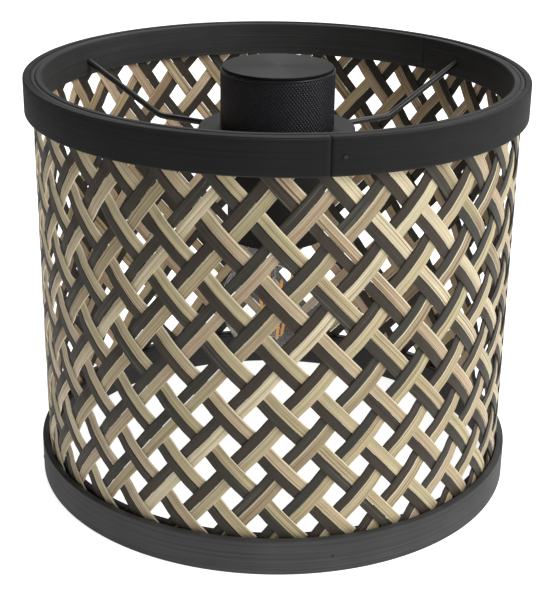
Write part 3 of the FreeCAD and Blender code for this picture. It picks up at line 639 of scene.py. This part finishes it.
def turned_cap(metal):
    """The dial's face: a turned disc with a softly rounded edge, and the boss that holds the shaft."""
    radius, foot, head = high("dial_cap")[0], low("dial_cap")[2], high("dial_cap")[2]
    shaft, shaft_head = high("encoder_shaft")[0] + 0.05 * MM, high("encoder_shaft")[2]
    boss, under = shaft + 2.95 * MM, head - 2.4 * MM
    lip = 0.35 * MM
    outline = [(0.01 * MM, shaft_head), (shaft, shaft_head), (shaft, foot), (boss, foot), (boss, under),
               (radius, under), *rounded(radius, head, lip), (radius - 1.2 * MM, head), (radius / 2, head),
               (0.01 * MM, head)]
    return lathe("turned_cap", np.array(outline), 160, metal, "dial", ["dial_cap"])


# ---------------------------------------------------------------- the bulb

def build_globe(glass):
    """The globe: a sphere that runs into the neck by a soft shoulder, an outer and an inner skin in one wall.

    Along the outline the angle from the bottom pole grows evenly; past the shoulder the radius eases from
    the sphere's to the neck's as a power of the way that is left."""
    bottom, top = low("bulb_glass")[2], high("bulb_glass")[2]
    radius = high("bulb_glass")[0]
    neck, wall = 12.2 * MM, 0.8 * MM

    def skin(inset):
        ball = radius - inset
        tip = np.linspace(0.02, math.radians(128), 40)
        circle = np.stack([ball * np.sin(tip), bottom + radius - ball * np.cos(tip)], axis=-1)
        start = circle[-1]
        slope = np.linspace(0, 1, 18)[1:]
        width = (neck - inset) + (start[0] - neck + inset) * (1 - slope) ** 2.1
        shoulder = np.stack([width, start[1] + (top - 10 * MM - start[1]) * slope], axis=-1)
        return np.concatenate([circle, shoulder, [[neck - inset, top]]])

    outline = np.concatenate([skin(0.0), skin(wall)[::-1]])
    return lathe("blown_globe", outline, 96, glass, "bulb", ["bulb_glass"])


# ---------------------------------------------------------------- CAD nodes that keep their shape

def paint(node, material):
    """Give a CAD node its finish."""
    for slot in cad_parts[node].material_slots:
        slot.material = material


def build_finishes():
    wire = enamel("wire_enamel", 0.014, 0.26, 0.5, 0.00002)
    coat = enamel("housing_coat", 0.010, 0.50, 0.28, 0.00004)
    brass = bare_metal("plain_brass", (0.72, 0.50, 0.20, 1), 0.22)
    steel = bare_metal("plain_steel", (0.56, 0.56, 0.57, 1), 0.28)
    rubber = moulded("black_rubber", (0.022, 0.022, 0.022, 1), 0.7, 0.25)
    knurled = anodised("knurled_black", (0.0038, 0.0038, 0.0085), 0.0, 0.25, 0.00002, 0.38, 0.0)
    satin = anodised("satin_black", (0.0095, 0.0100, 0.0100), 0.10, 0.30, 0.00005, 0.10, 0.85)
    finishes = {
        "spider_ring": wire, "spider_arm_right": wire, "spider_arm_left": wire, "spider_arm_front": wire,
        "lamp_housing": coat, "top_deck": coat, "flange_gasket": rubber, "port_plug": rubber,
        "encoder_shaft": steel, "encoder_body": steel, "encoder_nut": steel,
        "hoop_pins": bare_metal("dull_nail", (0.05, 0.048, 0.045, 1), 0.45),
        "socket_insulator": moulded("socket_moulding", (0.62, 0.60, 0.56, 1), 0.45, 0.05),
        "screw_shell": brass, "centre_contact": brass, "side_contact": brass, "contact_tip": brass,
        "socket_screws": steel, "socket_leads": rubber, "charge_port": steel, "support_wires": steel,
        "control_board": circuit_green(),
        "battery_pack": moulded("battery_wrap", (0.035, 0.10, 0.26, 1), 0.3, 0.1),
        "bulb_cap": bare_metal("cap_nickel", (0.66, 0.65, 0.62, 1), 0.2),
        "cap_insulator": moulded("cap_vitrite", (0.02, 0.02, 0.022, 1), 0.2, 0.2),
        "bulb_stem": clear_glass(), "led_filaments": amber_phosphor(),
    }
    for node, material in finishes.items():
        paint(node, material)
    return knurled, satin, finishes["bulb_stem"]


# ---------------------------------------------------------------- floor, light and camera

SENSOR_WIDTH = 36.0
FOCAL_LENGTH = 83.85
CAMERA_PLACE = (0.00077, -0.54777, 0.29551)
CAMERA_PITCH = math.radians(22.27)
CAMERA_ROLL = 0.0147
FLOOR_HALF = 4.0
CARD_PLACE, CARD_HALF, CARD_FOOT, CARD_HEAD = -0.75, 1.6, 0.01, 1.8


def build_stage():
    recipe = Recipe("pale_floor", Roughness=0.9, Specular_IOR_Level=0.1, Emission_Strength=0.95)
    cloud = recipe.noise(recipe.place(), 3.0, 3.0)
    colour = recipe.ramp(cloud, [(0.3, grey(0.86)), (0.7, grey(0.89))])
    recipe.wear("Base Color", colour)
    recipe.wear("Emission Color", colour)
    half = FLOOR_HALF
    corners = [(-half, -half, 0), (half, -half, 0), (half, half, 0), (-half, half, 0)]
    add_card("floor", corners, recipe.material)
    black = moulded("black_card", (0.01, 0.01, 0.01, 1), 0.9)
    left = [(CARD_PLACE, -CARD_HALF, CARD_FOOT), (CARD_PLACE, CARD_HALF, CARD_FOOT),
            (CARD_PLACE, CARD_HALF, CARD_HEAD), (CARD_PLACE, -CARD_HALF, CARD_HEAD)]
    add_card("left_card", left, black).visible_camera = False

    world = bpy.data.worlds.new("studio")
    bpy.context.scene.world = world
    world.use_nodes = True
    world.node_tree.nodes["Background"].inputs["Color"].default_value = (1.0, 1.0, 1.0, 1)
    world.node_tree.nodes["Background"].inputs["Strength"].default_value = 0.50


def add_card(name, corners, material):
    """A flat sheet of the stage."""
    mesh = bpy.data.meshes.new(name)
    mesh.from_pydata(corners, [], [(0, 1, 2, 3)])
    mesh.materials.append(material)
    card = bpy.data.objects.new(name, mesh)
    bpy.context.scene.collection.objects.link(card)
    return card


def add_softbox(name, place, aim, size, power):
    light = bpy.data.lights.new(name, "AREA")
    light.shape = "RECTANGLE"
    light.size, light.size_y = size
    light.energy = power
    lamp = bpy.data.objects.new(name, light)
    lamp.location = place
    lamp.rotation_euler = (Vector(aim) - Vector(place)).to_track_quat("-Z", "Y").to_euler()
    bpy.context.scene.collection.objects.link(lamp)


def build_lights():
    middle = (0, 0, 0.10)
    add_softbox("key_above_right", (0.95, -0.45, 0.85), middle, (0.7, 0.7), 11.3)
    add_softbox("back_above", (0.1, 1.0, 1.1), middle, (1.2, 0.6), 7.0)


def build_camera():
    """A camera in front, above the rim, tipped down and rolled a touch."""
    data = bpy.data.cameras.new("camera")
    data.sensor_width = SENSOR_WIDTH
    data.lens = FOCAL_LENGTH
    data.clip_start, data.clip_end = 0.01, 50
    camera = bpy.data.objects.new("camera", data)
    turn = (Matrix.Rotation(math.pi / 2 - CAMERA_PITCH, 4, "X")
            @ Matrix.Rotation(CAMERA_ROLL, 4, "Z"))
    camera.matrix_world = Matrix.Translation(CAMERA_PLACE) @ turn
    bpy.context.scene.collection.objects.link(camera)
    bpy.context.scene.camera = camera
    bpy.context.scene.view_settings.view_transform = "Standard"


build_camera()
build_lights()
build_stage()
knurled_black, satin_black, bulb_glass = build_finishes()
build_weave(natural_bamboo(), stained_bamboo())
build_hoops()
knurled_sleeve(knurled_black)
turned_cap(satin_black)
build_globe(bulb_glass)
